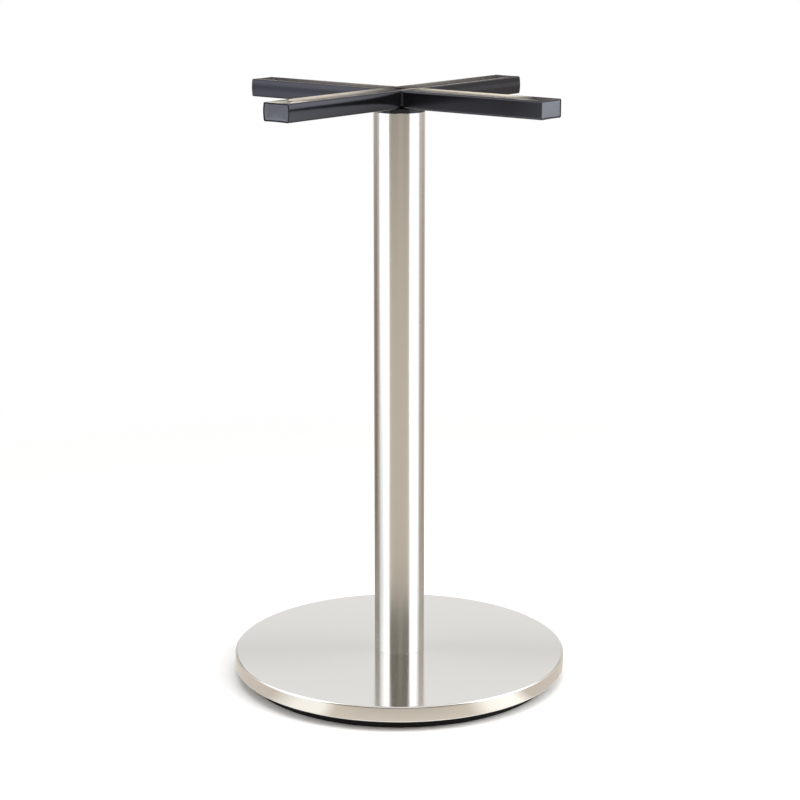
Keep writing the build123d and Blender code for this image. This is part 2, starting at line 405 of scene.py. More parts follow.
@dataclass
class Shell:
    """Grids of points gathered into one mesh."""

    points: list[np.ndarray] = field(default_factory=list)
    faces: list[np.ndarray] = field(default_factory=list)
    count: int = 0

    def add(
        self, grid: np.ndarray, wrap_rows: bool = False, wrap_columns: bool = True,
        keep: np.ndarray | None = None,
    ) -> Shell:
        """Adds a grid.

        Args:
            grid: points by rows and columns.
            wrap_rows: the last row joins the first.
            wrap_columns: the last column joins the first.
            keep: which cells get a face, all of them if left out.

        Returns:
            This shell.
        """
        cells = grid_faces(*grid.shape[:2], wrap_rows, wrap_columns)
        kept = cells.reshape(-1, 4) if keep is None else cells[keep]
        self.points.append(grid.reshape(-1, 3))
        self.faces.append(kept + self.count)
        self.count += grid.shape[0] * grid.shape[1]
        return self

    def mesh(self, name: str) -> bpy.types.Mesh:
        """Welds the grids along their seams and poles, and turns the faces outwards.

        Args:
            name: the mesh's name.

        Returns:
            The new mesh.
        """
        points, faces = np.concatenate(self.points), np.concatenate(self.faces)
        mesh = bpy.data.meshes.new(name)
        mesh.vertices.add(len(points))
        mesh.vertices.foreach_set("co", points.astype(np.float32).ravel())
        mesh.loops.add(faces.size)
        mesh.loops.foreach_set("vertex_index", faces.astype(np.int32).ravel())
        mesh.polygons.add(len(faces))
        mesh.polygons.foreach_set("loop_start", np.arange(0, faces.size, 4, dtype=np.int32))
        mesh.update(calc_edges=True)
        work = bmesh.new()
        work.from_mesh(mesh)
        bmesh.ops.remove_doubles(work, verts=work.verts, dist=WELD_DISTANCE)
        bmesh.ops.recalc_face_normals(work, faces=work.faces)
        work.to_mesh(mesh)
        work.free()
        mesh.shade_smooth()
        mesh.set_sharp_from_angle(angle=CRISP_ANGLE)
        return mesh


def lathe(
    corners: Sequence[tuple[float, float]], radii: Sequence[float], steps: int, segments: int,
    support: float = 0.1 * MM,
) -> Shell:
    """Carries a closed section with rounded corners round Z.

    Args:
        corners: radius and height of the section's corners, in order.
        radii: radius of each corner's arc, 0 for a sharp one.
        steps: pieces of each arc.
        segments: points round the circle.
        support: distance of the points that keep flat sides flat from the arcs.

    Returns:
        The turned surface.
    """
    outline = rounded_outline(corners, radii, steps, support)
    return Shell().add(turned(outline, segments), wrap_rows=True)


@dataclass
class Workshop:
    """Makes pieces of the object from shells and dresses the solid model's own nodes."""

    materials: dict[str, bpy.types.Material] = field(default_factory=dict)

    def paint(self, finish: Finish) -> bpy.types.Material:
        """The finish's material, made at its first use."""
        if finish.name not in self.materials:
            self.materials[finish.name] = finish.material()
        return self.materials[finish.name]

    def piece(self, name: str, shell: Shell, finish: Finish, replaced: str) -> None:
        """Makes one piece that rides on the object.

        Args:
            name: the piece's name.
            shell: its surface.
            finish: its finish.
            replaced: node that it stands for.
        """
        made = new_object(name, shell.mesh(name))
        made.data.materials.append(self.paint(finish))
        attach(made, "root")
        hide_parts(replaced)
        LOG.info("%s: %d faces, %s", name, len(made.data.polygons), finish.name)

    def dress(self, node: str, finish: Finish) -> None:
        """Gives a node of the solid model its finish and keeps its shape."""
        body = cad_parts[node]
        body.data.materials.clear()
        body.data.materials.append(self.paint(finish))
        LOG.info("%s: as modelled, %s", node, finish.name)


def reach(node: str) -> tuple[float, float, float]:
    """Outer radius along X, lowest and highest level of a node."""
    low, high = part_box(node)
    return max(high.x, -low.x), low.z, high.z


@dataclass
class Foot:
    """Round foot: spun cover, iron weight and the rubber ring that it stands on."""

    sheet: float = 1.2 * MM
    edge_bend: float = 2.5 * MM
    lip_bend: float = 2.5 * MM
    lip_width: float = 9 * MM
    cut_edge: float = 0.4 * MM
    rod_hole: float = 6.5 * MM
    recess_radius: float = 23 * MM
    recess_depth: float = 9 * MM
    casting_edge: float = 0.8 * MM
    groove_gap: float = 0.2 * MM
    ring_width: float = 14 * MM
    ring_edge: float = 1.5 * MM
    grip_places: tuple[float, ...] = (0.28, 0.5, 0.72)
    grip_depth: float = 0.8 * MM
    grip_half_width: float = 0.7 * MM
    grip_edge: float = 0.15 * MM
    grip_support: float = 0.05 * MM

    def build(self, shop: Workshop) -> None:
        """Makes the cover, the weight and the ring."""
        shop.piece("foot_cover", self.cover(), COVER_STEEL, "base_cover")
        shop.piece("foot_weight", self.weight(), BLACK_IRON, "base_weight")
        shop.piece("foot_ring", self.ring(), RUBBER, "floor_ring")

    def cover(self) -> Shell:
        """Sheet section carried round: flat top, rounded edge, skirt and lip turned in below."""
        radius, bottom, top = reach("base_cover")
        lip, inner = radius - self.lip_width, radius - self.sheet
        corners = [
            (self.rod_hole, top), (radius, top), (radius, bottom), (lip, bottom),
            (lip, bottom + self.sheet), (inner, bottom + self.sheet),
            (inner, top - self.sheet), (self.rod_hole, top - self.sheet),
        ]
        outside = [self.cut_edge, self.edge_bend, self.lip_bend, self.cut_edge]
        inside = [self.cut_edge, self.lip_bend - self.sheet, self.edge_bend - self.sheet, self.cut_edge]
        return lathe(corners, outside + inside, steps=10, segments=720)

    def weight(self) -> Shell:
        """Disc section carried round, with the ring's groove and the nut's recess below."""
        radius, bottom, top = reach("base_weight")
        ring_radius, _, ring_top = reach("floor_ring")
        groove_outer = ring_radius + self.groove_gap
        groove_inner = ring_radius - self.ring_width - self.groove_gap
        recess_top = bottom + self.recess_depth
        underside = [
            (self.recess_radius, recess_top), (self.recess_radius, bottom),
            (groove_inner, bottom), (groove_inner, ring_top),
            (groove_outer, ring_top), (groove_outer, bottom),
        ]
        rim = [(radius, bottom), (radius, top)]
        corners = [(self.rod_hole, recess_top), *underside, *rim, (self.rod_hole, top)]
        bends = [self.lip_bend - self.sheet, self.edge_bend - self.sheet]
        radii = [0, *[self.casting_edge] * len(underside), *bends, 0]
        return lathe(corners, radii, steps=5, segments=240)

    def ring(self) -> Shell:
        """Ring section carried round: rounded edges and three grip grooves in the sole."""
        radius, bottom, top = reach("floor_ring")
        inner = radius - self.ring_width
        grooves = [
            (inner + self.ring_width * share + side * self.grip_half_width, bottom + rise)
            for share in self.grip_places
            for side, rise in ((-1, 0.0), (0, self.grip_depth), (1, 0.0))
        ]
        corners = [(inner, bottom), *grooves, (radius, bottom), (radius, top), (inner, top)]
        grips = [self.grip_edge] * len(grooves)
        radii = [self.ring_edge, *grips, self.ring_edge, self.ring_edge / 2, self.ring_edge / 2]
        return lathe(corners, radii, steps=4, segments=360, support=self.grip_support)


@dataclass
class Column:
    """Polished tube with the centring disc in its foot, and the tie rod through its middle."""

    tube_wall: float = 1.5 * MM
    deburr: float = 0.3 * MM
    thread_pitch: float = 1.75 * MM
    thread_depth: float = 1.07 * MM
    thread_flat: float = 0.125
    thread_length: float = 40 * MM
    rod_chamfer: float = 1.0 * MM
    slot_width: float = 2.0 * MM
    slot_depth: float = 2.5 * MM
    steps_per_turn: int = 8
    gap_points: int = 5
    land_points: int = 33
    wall_points: int = 9
    fasteners: tuple[str, ...] = ("lower_washer", "lower_spring_washer", "lower_nut")

    def build(self, shop: Workshop) -> None:
        """Makes the tube and the rod, and dresses what keeps its modelled shape."""
        shop.piece("column", self.tube(), COLUMN_STEEL, "column_tube")
        shop.piece("threaded_rod", self.rod(), ZINC, "tie_rod")
        shop.dress("centring_disc", PLUG_PLASTIC)
        for node in self.fasteners:
            shop.dress(node, ZINC)

    def tube(self) -> Shell:
        """Wall section carried round, with its cut ends rounded over by deburring."""
        radius, bottom, top = reach("column_tube")
        bore = radius - self.tube_wall
        corners = [(radius, bottom), (radius, top), (bore, top), (bore, bottom)]
        return lathe(corners, [self.deburr] * len(corners), steps=4, segments=360)

    def side(self, level: np.ndarray, angle: np.ndarray) -> np.ndarray:
        """Side of the rod, whose radius dips along a helix at both ends.

        The depth is a clipped triangle wave of height over pitch minus angle over a full turn. It runs
        out towards the plain shank, and the end chamfers cut it off. Points beside the slot keep off it.

        Args:
            level: height of each row.
            angle: direction of each column.

        Returns:
            Grid of points.
        """
        radius, bottom, top = reach("tie_rod")
        level = level[:, None]
        tooth = 2 * np.abs((level / self.thread_pitch - angle / (2 * math.pi)) % 1 - 0.5)
        crest = np.clip((1 + 2 * self.thread_flat) * tooth - self.thread_flat, 0, 1)
        from_end = np.minimum(level - bottom, top - level)
        run_out = np.clip((self.thread_length - from_end) / (2 * self.thread_pitch), 0, 1)
        threaded = radius - self.thread_depth * (1 - crest) * run_out
        outer = np.minimum(threaded, radius - self.rod_chamfer + from_end)
        half_slot = self.slot_width / 2
        beside = radius * np.abs(np.sin(angle)) > half_slot - WELD_DISTANCE
        y = outer * np.sin(angle)
        y = np.where(beside, np.sign(y) * np.maximum(np.abs(y), half_slot), y)
        return np.stack([outer * np.cos(angle), y, level + np.zeros_like(outer)], axis=-1)

    def rod(self) -> Shell:
        """Rod with threaded ends: the shank up to the slot's floor, the floor and a land on either side."""
        radius, bottom, top = reach("tie_rod")
        floor, step = top - self.slot_depth, self.thread_pitch / self.steps_per_turn
        foot = np.arange(bottom, bottom + self.thread_length, step)
        head = np.linspace(top - self.thread_length, floor, len(foot))
        lands = np.linspace(floor, top, round(self.slot_depth / step) + 1)
        edge = math.asin(self.slot_width / 2 / radius)
        gap = np.linspace(-edge, edge, self.gap_points)
        land = np.linspace(edge, math.pi - edge, self.land_points)
        half_ring = np.concatenate([gap[:-1], land[:-1]])
        shank = self.side(np.concatenate([foot, head]), np.concatenate([half_ring, half_ring + math.pi]))
        made = Shell().add(np.concatenate([shank[:1] * np.array([0.0, 0.0, 1.0]), shank]))
        share = np.linspace(0, 1, self.wall_points)[:, None]
        near, far = (self.side(lands[:1], gap + turn) for turn in (0, math.pi))
        made.add(near + share[..., None] * (far[:, ::-1] - near), wrap_columns=False)
        for turn in (0, math.pi):
            arc = self.side(lands, land + turn)
            wall = arc[:, -1:] + share[1:-1] * (arc[:, :1] - arc[:, -1:])
            ring = np.concatenate([arc, wall], axis=1)
            cap = ring[-1:].mean(axis=1, keepdims=True) + np.zeros_like(ring[-1:])
            made.add(np.concatenate([ring, cap]))
        return made


@dataclass
class Outline:
    """Rounded rectangle with slightly crowned walls, counted round from its top flat."""

    width: float
    height: float
    corner: float
    crown: tuple[float, float]
    flat_steps: int = 14
    side_steps: int = 8
    corner_steps: int = 6
    least_corner: float = 0.4 * MM
    flat: np.ndarray = field(init=False)
    skeleton: np.ndarray = field(init=False)
    outward: np.ndarray = field(init=False)

    def __post_init__(self) -> None:
        """Lays out the skeleton's points, from -1 to 1 each way, and their outward directions."""
        self.flat = self.spread(self.flat_steps)
        side = self.spread(self.side_steps)
        quarter = np.linspace(0, QUARTER_TURN, self.corner_steps + 1)[1:-1]
        skeleton, outward = [], []
        for start, places in ((90, self.flat), (180, side), (270, self.flat), (0, side)):
            angle = math.radians(start)
            facing = np.array([math.cos(angle), math.sin(angle)])
            along = np.array([-facing[1], facing[0]])
            skeleton.append(facing + places[:, None] * along)
            outward.append(np.tile(facing, (len(places), 1)))
            skeleton.append(np.tile(facing + along, (len(quarter), 1)))
            outward.append(np.stack([np.cos(angle + quarter), np.sin(angle + quarter)], axis=-1))
        self.skeleton = np.round(np.concatenate(skeleton), 12)
        self.outward = np.concatenate(outward)

    @staticmethod
    def spread(steps: int) -> np.ndarray:
        """Places from -1 to 1 in equal steps, with one more just inside each end."""
        places = np.linspace(-1, 1, steps - 1)
        close = 0.985
        return np.concatenate([[-1, -close], places[1:-1], [close, 1]])

    @property
    def half_flat(self) -> float:
        """Half the length of the top flat."""
        return self.width / 2 - max(self.crown[0], 0) - self.corner

    def first_column(self, wall: Wall) -> int:
        """Number of a flat wall's first point."""
        return 0 if wall is Wall.TOP else len(self.outward) // 2

    def carry(self, inset: np.ndarray, along: np.ndarray, scale: np.ndarray | float = 1.0) -> np.ndarray:
        """Carries the outline along X.

        Each point is the skeleton's point plus the corner radius times its outward direction, and a wall's
        points swell by a parabola across it.

        Args:
            inset: how far the outline is drawn in, per row.
            along: place on X, per row.
            scale: share of its size that is left, per row.

        Returns:
            Grid of points about the bar's middle line.
        """
        corner = np.maximum(self.corner - inset, self.least_corner)[:, None]
        half = np.array([self.width, self.height]) / 2 - np.maximum(self.crown, 0) - inset[:, None] - corner
        flat = half[:, None, :] * self.skeleton + corner[:, :, None] * self.outward
        on_wall = np.isclose(np.abs(self.outward), 1)
        bulge = np.where(on_wall, np.asarray(self.crown) * (1 - self.skeleton[:, ::-1] ** 2), 0.0)
        flat = flat + bulge * self.outward
        flat = flat * np.broadcast_to(np.asarray(scale, float), inset.shape)[:, None, None]
        place = np.broadcast_to(along[:, None, None], flat.shape[:2] + (1,))
        return np.concatenate([place, flat], axis=-1)


@dataclass(frozen=True)
class Hole:
    """A round hole through one flat wall of a bar."""

    place: float
    radius: float
    wall: Wall


@dataclass
class Bar:
    """Length of rectangular tube laid along X: outside, round the cut end, back inside."""

    outline: Outline
    start: float
    end: float
    holes: tuple[Hole, ...]
    wall: float
    deburr: float = 0.35 * MM
    hole_edge: float = 0.15 * MM
    arc_steps: int = 3
    gap_steps: int = 4
    support: float = 0.15 * MM

    def stations(self) -> np.ndarray:
        """Places along the bar: a square's worth at each hole, and a few between."""
        half = self.outline.half_flat
        low = self.start + self.deburr
        runs = [np.array([low])]
        low += self.support
        for place in sorted({hole.place for hole in self.holes}):
            runs.append(np.linspace(low, place - half, self.gap_steps + 1)[:-1])
            runs.append(place + half * self.outline.flat[:-1])
            low = place + half
        runs.append(np.linspace(low, self.end - self.deburr - self.support, self.gap_steps + 1))
        runs.append(np.array([self.end - self.deburr]))
        return np.concatenate(runs)

    def shell(self) -> Shell:
        """The tube with its holes, about the bar's middle line."""
        places = self.stations()
        count, edge = len(places), self.deburr
        turn = np.linspace(0, QUARTER_TURN, self.arc_steps + 1)
        out, back = edge * np.sin(turn[1:]), edge * np.cos(turn[:-1])
        along = np.concatenate([
            places, self.end - edge + out, self.end - edge + back,
            places[::-1], self.start + edge - out, self.start + edge - back,
        ])
        sunk, risen = edge * np.cos(turn[1:]), edge * np.sin(turn[:-1])
        inset = np.concatenate([
            np.zeros(count), edge - sunk, self.wall - edge + risen,
            np.full(count, self.wall), self.wall - edge + sunk, edge - risen,
        ])
        grid = self.outline.carry(inset, along)
        keep = np.ones(grid.shape[:2], bool)
        inside = count + 2 * self.arc_steps
        half, cells = self.outline.half_flat, len(self.outline.flat) - 1
        for hole in self.holes:
            first = int(np.argmin(np.abs(places - (hole.place - half))))
            mirrored = inside + count - 1 - first - cells
            column = self.outline.first_column(hole.wall)
            for row in (first, mirrored):
                keep[row : row + cells, column : column + cells] = False
        made = Shell().add(grid, wrap_rows=True, keep=keep)
        for hole in self.holes:
            made.add(self.patch(hole))
        return made

    def patch(self, hole: Hole) -> np.ndarray:
        """Skin of a square with a hole in it.

        The square's outline blends to a circle, goes through the wall over rounded edges, and blends back
        to the square on the inside.

        Args:
            hole: the hole at the square's middle.

        Returns:
            Grid of points, rings by places round the hole.
        """
        run, full = self.outline.flat[:-1], np.ones(len(self.outline.flat) - 1)
        square = np.concatenate([
            np.stack([run, -full], axis=-1), np.stack([full, run], axis=-1),
            np.stack([-run, full], axis=-1), np.stack([-full, -run], axis=-1),
        ]) * self.outline.half_flat
        circle = square / np.linalg.norm(square, axis=1, keepdims=True)
        edge = self.hole_edge
        turn = np.linspace(0, QUARTER_TURN, self.arc_steps + 1)
        lip = hole.radius + edge - edge * np.sin(turn)
        depth = edge - edge * np.cos(turn)
        rim = hole.radius + 2 * edge
        radius = np.concatenate([[0, rim], lip, lip[::-1], [rim, 0]])
        level = np.concatenate([[0, 0], depth, self.wall - depth[::-1], [self.wall, self.wall]])
        round_share = np.where(radius > 0, 1.0, 0.0)[:, None, None]
        plan = (1 - round_share) * square + round_share * radius[:, None, None] * circle
        crown = self.outline.crown[1]
        sink = max(crown, 0) - crown * (1 - (plan[..., 1:] / self.outline.half_flat) ** 2)
        up = hole.wall.value * (self.outline.height / 2 - level[:, None, None] - sink)
        centre = np.array([hole.place, 0.0])
        return np.concatenate([plan + centre, up], axis=-1)


@dataclass(frozen=True)
class Bead:
    """Weld bead in an inside corner: overlapping ripples that thin out at both ends."""

    length: float
    leg: float
    phase: float
    crown: float = 0.45 * MM
    ripple: float = 2.4 * MM
    ripple_depth: float = 0.3 * MM
    lag: float = 0.4
    steps_per_ripple: int = 10
    face_steps: int = 12

    def section(self) -> tuple[np.ndarray, np.ndarray, np.ndarray]:
        """Lays out the bead along its corner.

        Across the face, a point is a mix of both toes plus a crown that swells between them. The toes and
        the crown follow scallops, whose arcs lag behind in the middle of the face.

        Returns:
            Place along the corner, and distance from it along each of the two surfaces.
        """
        rows = round(self.length / self.ripple * self.steps_per_ripple) + 1
        along, face = np.meshgrid(
            np.linspace(0, self.length, rows), np.linspace(0, 1, self.face_steps + 1), indexing="ij"
        )
        nearer = np.clip(np.minimum(along, self.length - along) / self.leg, 0, 1)
        taper = np.sqrt(1 - (1 - nearer) ** 2)
        swell = np.sin(math.pi * face)
        scallop = np.abs(np.sin(math.pi * (along / self.ripple + self.phase - self.lag * swell))) - 0.5
        toe = taper * (self.leg + 0.5 * self.ripple_depth * scallop)
        rise = taper * swell * (self.crown + self.ripple_depth * scallop) / math.sqrt(2)
        corner = np.zeros((rows, 1))
        first = np.concatenate([corner, toe * (1 - face) + rise], axis=1)
        second = np.concatenate([corner, toe * face + rise], axis=1)
        return np.concatenate([along[:, :1], along], axis=1), first, second


@dataclass
class Cross:
    """Welded cross: one long bar, two short ones, a round plate below, beads and end plugs."""

    bar_wall: float = 1.5 * MM
    bar_corner: float = 2.2 * MM
    side_crown: float = 0.75 * MM
    top_crown: float = -0.26 * MM
    screw_end_distance: float = 22.5 * MM
    screw_radius: float = 3.5 * MM
    rod_radius: float = 6.5 * MM
    thread_radius: float = 6.05 * MM
    spigot_step: float = 1.7 * MM
    spigot_edge: float = 1.0 * MM
    plate_edge: float = 0.5 * MM
    corner_leg: float = 2.4 * MM
    corner_phase: float = 0.37
    plate_leg: float = 2.4 * MM
    plate_phase: float = 0.31
    first_plate_phase: float = 0.2
    plate_bead_half_angle: float = math.radians(24)
    seam_ripple: float = 2.6 * MM
    seam_lag: float = 0.4
    seam_sink: float = 0.08 * MM
    seam_depth: float = 0.3 * MM
    seam_start: float = 0.1 * MM
    seam_overlap: float = 0.2 * MM
    seam_points: tuple[int, int] = (141, 9)
    plug_gap: float = 0.1 * MM
    plug_edge: float = 0.5 * MM
    plug_wall: float = 1.6 * MM
    plug_face: float = 2.5 * MM
    plug_crown: float = 0.25 * MM
    rib_height: float = 0.8 * MM
    rib_thickness: float = 1.2 * MM
    rib_count: int = 3
    plug_edge_points: int = 5
    plug_face_points: int = 9
    half_span: float = field(init=False)
    half_width: float = field(init=False)
    bottom: float = field(init=False)
    top: float = field(init=False)
    flat: Outline = field(init=False)
    outline: Outline = field(init=False)

    def __post_init__(self) -> None:
        """Reads the bars' places from the solid model."""
        low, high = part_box("cross_bar_long")
        self.half_span, self.half_width = high.y, high.x
        self.bottom, self.top = low.z, high.z
        size = (2 * high.x, high.z - low.z, self.bar_corner)
        self.flat = Outline(*size, (0.0, self.top_crown))
        self.outline = Outline(*size, (self.side_crown, self.top_crown))

    def tube(self, arm: Arm) -> Outline:
        """Outline of an arm's tube: the right one's sides are flat, the others' are crowned."""
        return self.flat if arm is Arm.RIGHT else self.outline

    def lift(self, shell: Shell, arm: Arm) -> Shell:
        """Raises a shell from the bar's middle line to its level, and turns it to its arm."""
        middle = np.array([0, 0, (self.bottom + self.top) / 2])
        shell.points = [arm.turn(points + middle) for points in shell.points]
        return shell

    def build(self, shop: Workshop) -> None:
        """Makes the bars, the plate, the beads and the plugs."""
        screw = self.half_span - self.screw_end_distance
        outer = [Hole(screw, self.screw_radius, wall) for wall in Wall]
        other = [Hole(-screw, self.screw_radius, wall) for wall in Wall]
        middle = [Hole(0.0, self.rod_radius, wall) for wall in Wall]
        holes = (*other, *outer, *middle)
        long_bar = Bar(self.outline, -self.half_span, self.half_span, holes, self.bar_wall)
        shop.piece("long_bar", self.lift(long_bar.shell(), Arm.BACK), POWDER_COAT, "cross_bar_long")
        for arm in (Arm.RIGHT, Arm.LEFT):
            name = arm.name.lower()
            short = Bar(self.tube(arm), self.half_width, self.half_span, tuple(outer), self.bar_wall)
            skin = self.lift(short.shell(), arm)
            shop.piece(f"short_bar_{name}", skin, POWDER_COAT, f"cross_bar_{name}")
        shop.piece("column_plate", self.plate(), POWDER_COAT, "top_plate")
        shop.piece("corner_beads", self.corner_beads(), POWDER_COAT, "corner_welds")
        shop.piece("plate_beads", self.plate_beads(), POWDER_COAT, "plate_welds")
        shop.piece("seam_beads", self.seam_beads(), POWDER_COAT, "seam_welds")
        for arm in Arm:
            name = arm.name.lower()
            skin = self.lift(self.plug(self.tube(arm)), arm)
            shop.piece(f"plug_{name}", skin, PLUG_PLASTIC, f"end_plug_{name}")

    def plate(self) -> Shell:
        """Plate section carried round: a disc as wide as the column and a spigot that enters it."""
        radius, spigot_bottom, top = reach("top_plate")
        shoulder = reach("column_tube")[2]
        spigot = radius - self.spigot_step
        corners = [
            (self.thread_radius, spigot_bottom), (spigot, spigot_bottom), (spigot, shoulder),
            (radius, shoulder), (radius, top), (self.thread_radius, top),
        ]
        radii = [0, self.spigot_edge, 0, self.plate_edge, self.plate_edge, 0]
        return lathe(corners, radii, steps=5, segments=240)

    def corner_beads(self) -> Shell:
        """Upright beads in the four inner corners, each with its own phase."""
        made = Shell()
        low, high = self.bottom + self.bar_corner, self.top - self.bar_corner
        root = self.half_width - 0.5 * self.side_crown
        for arm in Arm:
            bead = Bead(high - low, self.corner_leg, self.corner_phase * arm.value)
            along, first, second = bead.section()
            made.add(arm.turn(np.stack([root + first, root + second, low + along], axis=-1)))
        return made

    def plate_beads(self) -> Shell:
        """Beads along the plate's rim under the four arms: radius grows outwards, level goes down."""
        made = Shell()
        radius = reach("top_plate")[0]
        length = 2 * self.plate_bead_half_angle * radius
        for arm in Arm:
            phase = self.first_plate_phase + self.plate_phase * arm.value
            along, outwards, down = Bead(length, self.plate_leg, phase).section()
            angle = along / radius - self.plate_bead_half_angle
            outer = radius + outwards
            grid = np.stack([outer * np.cos(angle), outer * np.sin(angle), self.bottom - down], axis=-1)
            made.add(arm.turn(grid))
        return made

    def seam_beads(self) -> Shell:
        """Filled seams where the short bars butt against the long bar's rounded edges, above and below.

        A flat strip just under the bars' surface, as wide as the edge's rounding, with shallow ripples.
        """
        made = Shell()
        half = self.outline.half_flat
        lengthwise, crosswise = self.seam_points
        along, across = np.meshgrid(
            np.linspace(-half, half, lengthwise), np.linspace(0, 1, crosswise), indexing="ij"
        )
        swell = np.sin(math.pi * across)
        scallop = np.abs(np.sin(math.pi * (along / self.seam_ripple - self.seam_lag * swell)))
        sink = self.seam_sink + self.seam_depth * scallop * swell
        width = self.bar_corner + self.side_crown + self.seam_overlap
        out = half + self.seam_start + width * across
        root = np.ones((len(along), 1))
        out = np.concatenate([root * self.half_width, out], axis=1)
        sink = np.concatenate([root * self.bar_corner, sink], axis=1)
        along = np.concatenate([along[:, :1], along], axis=1)
        for arm in (Arm.RIGHT, Arm.LEFT):
            for level, sign in ((self.top, -1), (self.bottom, 1)):
                grid = np.stack([out, along, level + sign * sink], axis=-1)
                start, end = (row[:, :1] + np.zeros_like(row) for row in (grid[:1], grid[-1:]))
                made.add(arm.turn(np.concatenate([start, grid, end])))
        return made

    def plug(self, tube: Outline) -> Shell:
        """Push-in plug on the bar's middle line: crowned face, rounded head, ribbed skirt, hollow back.

        The rows go from the face's middle outwards, along the outside and back in along the inside, each a
        drawn-in and scaled copy of the bar's outline.

        Args:
            tube: the bar's outline.

        Returns:
            The plug's surface.
        """
        low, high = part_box("end_plug_right")
        face, back = high.x, low.x
        shoulder, edge = face - self.plug_face, self.plug_edge
        head = self.bar_wall + self.plug_gap
        skirt = head + self.rib_height
        hollow = skirt + self.plug_wall
        turn = np.linspace(0, QUARTER_TURN, self.plug_edge_points)
        share = np.linspace(0, 1, self.plug_face_points)
        pitch, rib = (shoulder - back) / self.rib_count, self.rib_thickness
        # The last rib ends at the back, where the skirt turns in
        ribs = np.array([
            (drawn_in, back + i * pitch + rise)
            for i in reversed(range(self.rib_count))
            for drawn_in, rise in ((skirt, rib), (head, rib), (head, 0.0), (skirt, 0.0))
        ])[:-1]
        inset = np.concatenate([
            np.full(len(share), head + edge), head + edge - edge * np.sin(turn),
            [head, skirt], ribs[:, 0], [hollow, hollow, hollow],
        ])
        along = np.concatenate([
            face + self.plug_crown * (1 - share**2), face - edge + edge * np.cos(turn),
            [shoulder, shoulder], ribs[:, 1], [back, shoulder, shoulder],
        ])
        scale = np.concatenate([share, np.ones(len(inset) - len(share) - 1), [0]])
        return Shell().add(tube.carry(inset, along, scale))


# Colours of the light that the cards throw
WHITE, PALE, BEIGE, SAND, CREAM = "#fafcff", "#f2efe9", "#e5dbcb", "#d6cdc2", "#f3e8d6"
BLUE, WEDGE_SHADE_GREY, SOOT, DIM, BROWN = "#eef0f7", "#d2d1d0", "#c6c4c8", "#85817c", "#83705f"
SHADE, DUSK, BLACK = "#5d5750", "#504d54", "#060606"

# Height at which mats lie over the floor
LOW = 3 * MM
# Radii of the cards: where the apron ends, the side walls and the front wall
APRON_EDGE, SIDES, FRONT = 0.286, 0.8, 2.3
# Radii of a mat behind the object: of its near strip and of its far one
NEAR_MAT, FAR_MAT = (APRON_EDGE, 0.55), (0.65, 7.0)


@dataclass(frozen=True)
class Glow:
    """Light of a card at one angle round the object."""

    angle: float
    colour: str
    strength: float


@dataclass(frozen=True)
class Row:
    """A card's arc at one radius and height, with its light from the first angle to the last."""

    radius: float
    height: float
    glows: tuple[Glow, ...]

    def light(self, angles: np.ndarray) -> np.ndarray:
        """Light at each angle, blended between the stops, as linear red, green, blue and alpha."""
        stops = [glow.angle for glow in self.glows]
        shades = np.array([linear(glow.colour) for glow in self.glows])
        shades[:, :3] *= np.array([[glow.strength] for glow in self.glows])
        return np.stack([np.interp(angles, stops, shade) for shade in shades.T], axis=-1)


@dataclass(frozen=True)
class Card:
    """Reflector for polished steel and gloss paint: a strip swept round, which only reflections see.

    Its angles are counted from the camera's side, to the right.
    """

    name: str
    rows: tuple[Row, ...]

    def build(self, azimuth: float, glow: bpy.types.Material) -> None:
        """Carries the rows round, and stores their light on the points.

        Args:
            azimuth: the camera's direction, in degrees.
            glow: material that shines with the points' light.
        """
        first, last = self.rows[0].glows[0].angle, self.rows[0].glows[-1].angle
        angles = np.linspace(first, last, round(2 * (last - first)) + 1)
        turn = np.radians(azimuth + angles)
        circle = np.stack([np.sin(turn), -np.cos(turn)], axis=-1)
        levels = [np.full((len(turn), 1), row.height) for row in self.rows]
        grid = np.stack([
            np.concatenate([row.radius * circle, level], axis=1) for row, level in zip(self.rows, levels)
        ])
        mesh = Shell().add(grid, wrap_columns=False).mesh(self.name)
        shine = mesh.color_attributes.new("glow", "FLOAT_COLOR", "POINT")
        shine.data.foreach_set("color", np.concatenate([row.light(angles) for row in self.rows]).ravel())
        mesh.materials.append(glow)
        made = new_object(self.name, mesh)
        for ray in ("camera", "diffuse", "transmission", "volume_scatter", "shadow"):
            setattr(made, "visible_" + ray, False)


def blend(*stops: tuple[float, str, float]) -> tuple[Glow, ...]:
    """Light that blends between stops of angle, colour and strength."""
    return tuple(Glow(*stop) for stop in stops)


def even(first: float, last: float, colour: str, strength: float = 1.0) -> tuple[Glow, ...]:
    """Even light from the first angle to the last."""
    return blend((first, colour, strength), (last, colour, strength))


def band(name: str, radius: float, low: float, high: float, glows: tuple[Glow, ...]) -> Card:
    """Upright card.

    Args:
        name: the card's name.
        radius: its distance from the axis.
        low: height of its lower edge.
        high: height of its upper edge.
        glows: its light, the same at both edges.

    Returns:
        The card.
    """
    return Card(name, (Row(radius, low, glows), Row(radius, high, glows)))


def apron(outward: float) -> tuple[Glow, ...]:
    """Light of the floor close round the foot, which its skirt mirrors.

    Args:
        outward: share of the way from the foot to the apron's outer edge.

    Returns:
        Sand all round, darker outwards in front, with a white patch on either side.
    """
    front, side, behind = 1.38 - 0.52 * outward, 1.3 - 0.2 * outward, 1.12
    return blend(
        (-179.9, SAND, behind), (-57, SAND, behind), (-43, PALE, 1.4), (-32, PALE, 1.45),
        (-26, SAND, side), (-14, SAND, front), (14, SAND, front), (28, SAND, side),
        (37, PALE, 1.5), (50, PALE, 1.7), (58, SAND, behind), (179.9, SAND, behind),
    )


